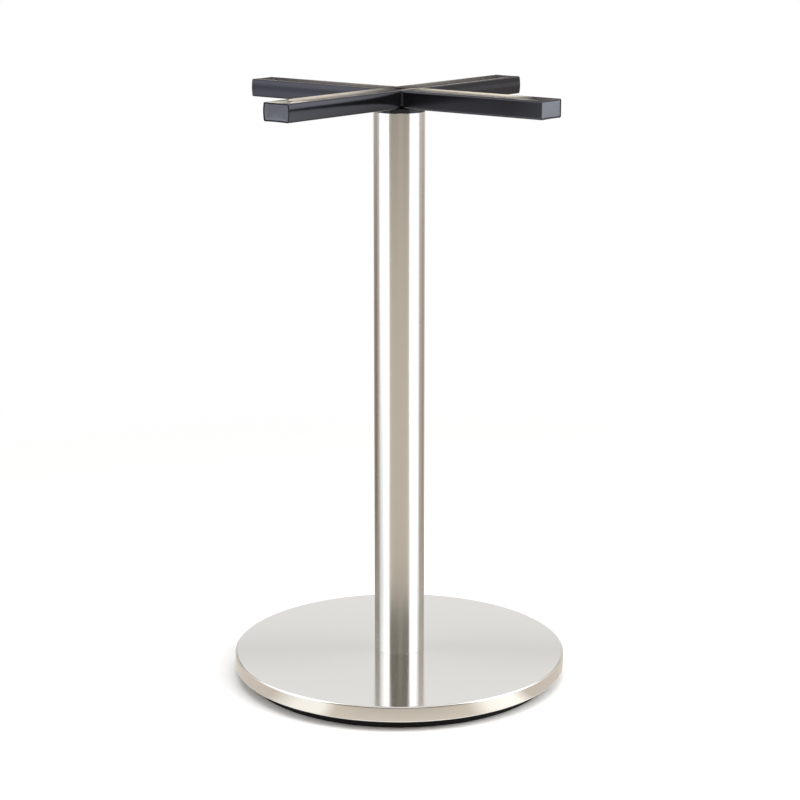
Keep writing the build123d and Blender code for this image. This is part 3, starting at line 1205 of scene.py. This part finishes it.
def mat(name: str, near: tuple[Glow, ...], edge: tuple[Glow, ...]) -> Card:
    """Floor behind the object on one side.

    Args:
        name: the card's name.
        near: its light close to the foot.
        edge: its light further out, which the column's edge mirrors.

    Returns:
        The card.
    """
    near_rows = tuple(Row(radius, LOW, near) for radius in NEAR_MAT)
    return Card(name, near_rows + tuple(Row(radius, LOW, edge) for radius in FAR_MAT))


EDGE_RIGHT = blend(
    (101, SAND, 0.9), (116, SAND, 0.85), (128, BROWN, 1.9), (140, BROWN, 1.9),
    (152, SAND, 1.0), (178, WHITE, 0.9),
)
EDGE_LEFT = blend(
    (-178, SAND, 0.62), (-152, SAND, 0.6), (-138, BROWN, 1.1), (-122, BROWN, 1.1),
    (-112, SAND, 0.9), (-100, SAND, 0.9),
)

# Dim card to the left, which the near side of the right arm mirrors: darkest towards the crossing
FLAG = blend(
    (-78, SOOT, 0.1), (-75, SOOT, 0.3), (-73, SOOT, 1.35),
    (-69, SOOT, 1.45), (-66, SOOT, 1.15), (-58, SOOT, 0.9),
)

# Strip of light low behind the cross, which its tops mirror
SHEEN = blend(
    (152, SAND, 0.45), (157, SAND, 0.45), (161, CREAM, 2.9), (174, CREAM, 2.4), (177, CREAM, 1.8),
    (179.5, CREAM, 0.5), (181, CREAM, 0.5), (183, CREAM, 1.2), (188, CREAM, 2.2), (208, CREAM, 1.8),
)


def front_row(radius: float, height: float, colour: str, strength: float = 1.0) -> Row:
    """A row in front of the object: paler towards both of its ends, or in its middle where it is dark."""
    ends, middle = (PALE, BEIGE) if colour == BEIGE else (SHADE, DIM)
    stops = (
        (-47, ends), (-34, colour), (-7, colour), (-2, middle),
        (13, middle), (18, colour), (34, colour), (47, ends),
    )
    return Row(radius, height, blend(*((angle, shade, strength) for angle, shade in stops)))


def right_row(radius: float, height: float, strength: float, edge: float, colour: str = WHITE) -> Row:
    """A row on the object's right, which dims towards its far edge."""
    return Row(radius, height, blend(
        (47, WHITE, strength), (84, WHITE, strength),
        (92, colour, edge), (97, colour, 0.75 * edge), (101, colour, 0.5 * edge),
    ))


def left_row(radius: float, height: float, strength: float, edge: float, colour: str = WHITE) -> Row:
    """A row on the object's left, which dims towards its far edge."""
    return Row(radius, height, blend(
        (-100, colour, 0.9 * edge), (-88, colour, edge), (-79, colour, 1.1 * edge),
        (-73, WHITE, strength), (-47, WHITE, strength),
    ))


CARDS = (
    Card("apron", (Row(0.206, LOW, apron(0)), Row(0.285, LOW, apron(1)))),
    Card("front", (
        front_row(APRON_EDGE, LOW, BEIGE, 0.55), front_row(0.34, LOW, BEIGE, 0.85),
        front_row(0.45, LOW, BEIGE), front_row(FRONT, LOW, BEIGE), front_row(FRONT, 0.44, BEIGE),
        front_row(FRONT, 0.6, SHADE), front_row(FRONT, 2.4, SHADE),
    )),
    Card("right", (
        right_row(APRON_EDGE, LOW, 1.6, 1.5), right_row(SIDES, LOW, 1.6, 1.5),
        right_row(SIDES, 0.05, 2.6, 1.7), right_row(SIDES, 0.45, 2.6, 1.7),
        right_row(SIDES, 0.56, 2.0, 1.8, BLUE), right_row(SIDES, 0.66, 1.9, 1.6, BLUE),
        right_row(SIDES, 0.70, 1.9, 1.6, BLUE), right_row(SIDES, 0.76, 2.6, 3.4, BLUE),
        right_row(SIDES, 1.5, 2.6, 3.4, BLUE),
    )),
    Card("left", (
        left_row(APRON_EDGE, LOW, 1.6, 1.1), left_row(SIDES, LOW, 1.6, 1.1),
        left_row(SIDES, 0.05, 2.6, 1.25), left_row(SIDES, 0.45, 2.6, 1.9),
        left_row(SIDES, 0.54, 2.6, 2.4, BLUE), left_row(SIDES, 0.67, 2.3, 1.5, BLUE),
        left_row(SIDES, 0.70, 2.3, 1.5, BLUE), left_row(SIDES, 0.78, 2.6, 3.0, BLUE),
        left_row(SIDES, 1.5, 2.6, 3.0, BLUE),
    )),
    mat("mat_right", even(101, 178, SAND, 0.75), EDGE_RIGHT),
    mat("mat_left", even(-178, -100, SAND, 0.55), EDGE_LEFT),
    band("shade_right", 3.5, 0.75, 1.7, even(104, 165, SAND, 0.95)),
    band("shade_left", 3.5, 0.75, 1.7, even(-165, -104, SAND, 0.64)),
    # Grey strip high behind the object, which the disc mirrors as painted shade: darker wedges on either
    # side of the column
    band("disc_wedge_shade", 3.45, 1.27, 1.33, even(150, 210, WEDGE_SHADE_GREY)),
    band("dusk", 0.45, 0.7, 0.769, even(152, 208, DUSK)),
    band("sheen", 0.45, 0.7692, 0.88, SHEEN),
    band("flag", 0.78, 0.57, 0.665, FLAG),
    band("flag_plug", 0.34, 0.673, 0.74, even(-63, -45, BLACK)),
)


@dataclass(frozen=True)
class Lamp:
    """Soft square lamp aimed at the middle of the object, left out of reflections."""

    name: str
    side: float
    elevation: float
    distance: float
    size: float
    power: float

    def build(self, azimuth: float, target: float) -> None:
        """Hangs the lamp.

        Args:
            azimuth: the camera's direction, in degrees.
            target: height that it is aimed at.
        """
        data = bpy.data.lights.new(self.name, "AREA")
        data.size, data.energy = self.size, self.power
        made = new_object(self.name, data)
        turn, tilt = math.radians(azimuth + self.side), math.radians(self.elevation)
        flat, rise = self.distance * math.cos(tilt), self.distance * math.sin(tilt)
        made.location = (flat * math.sin(turn), -flat * math.cos(turn), target + rise)
        made.rotation_euler = (QUARTER_TURN - tilt, 0.0, turn)
        made.visible_camera = made.visible_glossy = False


@dataclass
class Studio:
    """Pale floor, white surround, soft lamps, reflectors and the camera."""

    azimuth: float = 38.67
    distance: float = 2.4909
    height: float = 0.9454
    pitch: float = 0.238
    yaw: float = 0.0003
    focal_pixels: float = 2153.7
    photo_side: int = 800
    sensor: float = 36.0
    floor_radius: float = 9.0
    floor_level: float = -0.05 * MM
    floor_colour: str = "#f4f3f1"
    opening: float = 0.168
    near: float = 0.45
    far: float = 1.5
    ambient: float = 0.42
    lamp_target: float = 0.35
    lamps: tuple[Lamp, ...] = (
        Lamp("lamp_top", 10, 78, 2.6, 2.6, 60),
        Lamp("lamp_key", 62, 32, 2.6, 1.5, 52),
        Lamp("lamp_fill", -58, 28, 2.8, 1.8, 26),
    )

    def build(self) -> None:
        """Sets up the whole studio."""
        self.floor()
        self.surround()
        glow, tree = new_material("card_glow")
        tree.nodes.clear()
        light = add_node(tree, "VertexColor", layer_name="glow").outputs["Color"]
        shine = add_node(tree, "Emission", {"Color": light}).outputs[0]
        add_node(tree, "OutputMaterial", {"Surface": shine})
        for card in CARDS:
            card.build(self.azimuth, glow)
        for lamp in self.lamps:
            lamp.build(self.azimuth, self.lamp_target)
        self.camera()
        bpy.context.scene.view_settings.view_transform = "Standard"

    def seen(self, tree: bpy.types.NodeTree) -> bpy.types.NodeSocket:
        """1 for rays from the camera, reflections and glass, 0 for the light that falls on things."""
        path = add_node(tree, "LightPath").outputs
        mirrored = {0: path["Is Glossy Ray"], 1: path["Is Transmission Ray"]}
        either = add_node(tree, "Math", mirrored, operation="MAXIMUM").outputs[0]
        return add_node(tree, "Math", {0: path["Is Camera Ray"], 1: either}, operation="MAXIMUM").outputs[0]

    def floor(self) -> None:
        """Floor that takes the shadow near the object and fades to plain white, seen only from above.

        It is left open where the foot hides it, so that views from below show the foot's underside lit.
        """
        radii = (self.opening, self.near, self.far, self.floor_radius)
        outline = np.array([(radius, self.floor_level) for radius in radii])
        mesh = Shell().add(turned(outline, segments=96)).mesh("floor")
        if mesh.polygons[0].normal.z < 0:
            mesh.flip_normals()
        made = new_object("floor", mesh)
        material, tree = new_material("pale_floor")
        tree.nodes.clear()
        place = add_node(tree, "TexCoord").outputs["Object"]
        away = add_node(tree, "VectorMath", {0: place}, operation="LENGTH").outputs["Value"]
        fade = {"Value": away, "From Min": self.near, "From Max": self.far}
        share = add_node(tree, "MapRange", fade, interpolation_type="SMOOTHSTEP").outputs[0]
        white = add_node(tree, "Math", {0: share, 1: self.seen(tree)}, operation="MULTIPLY").outputs[0]
        matt = add_node(tree, "BsdfDiffuse", {"Color": linear(self.floor_colour)}).outputs[0]
        plain = add_node(tree, "Emission", {"Color": (1, 1, 1, 1), "Strength": 1.0}).outputs[0]
        top = add_node(tree, "MixShader", {0: white, 1: matt, 2: plain}).outputs[0]
        below = add_node(tree, "BsdfTransparent").outputs[0]
        back = add_node(tree, "NewGeometry").outputs["Backfacing"]
        both = add_node(tree, "MixShader", {0: back, 1: top, 2: below}).outputs[0]
        add_node(tree, "OutputMaterial", {"Surface": both})
        made.data.materials.append(material)

    def surround(self) -> None:
        """White all round for the camera and for reflections, and a soft even light on the object."""
        world = bpy.data.worlds.new("white_surround")
        world.use_nodes = True
        tree = world.node_tree
        levels = {"Value": self.seen(tree), "To Min": self.ambient, "To Max": 1.0}
        strength = add_node(tree, "MapRange", levels).outputs[0]
        feed(tree, tree.nodes["Background"], {"Color": (1, 1, 1, 1), "Strength": strength})
        bpy.context.scene.world = world

    def camera(self) -> None:
        """Camera where the photograph was taken from."""
        data = bpy.data.cameras.new("photo_camera")
        data.sensor_width = self.sensor
        data.lens = self.focal_pixels / self.photo_side * self.sensor
        made = new_object("photo_camera", data)
        turn = math.radians(self.azimuth)
        made.location = (self.distance * math.sin(turn), -self.distance * math.cos(turn), self.height)
        made.rotation_euler = (QUARTER_TURN - self.pitch, 0.0, turn - self.yaw)
        bpy.context.scene.camera = made


def main() -> None:
    """Builds the foot, the column, the cross and the studio."""
    logging.basicConfig(level=logging.INFO, format="%(name)s: %(message)s")
    shop = Workshop()
    Foot().build(shop)
    Column().build(shop)
    Cross().build(shop)
    Studio().build()


if __name__ == "__main__":
    main()
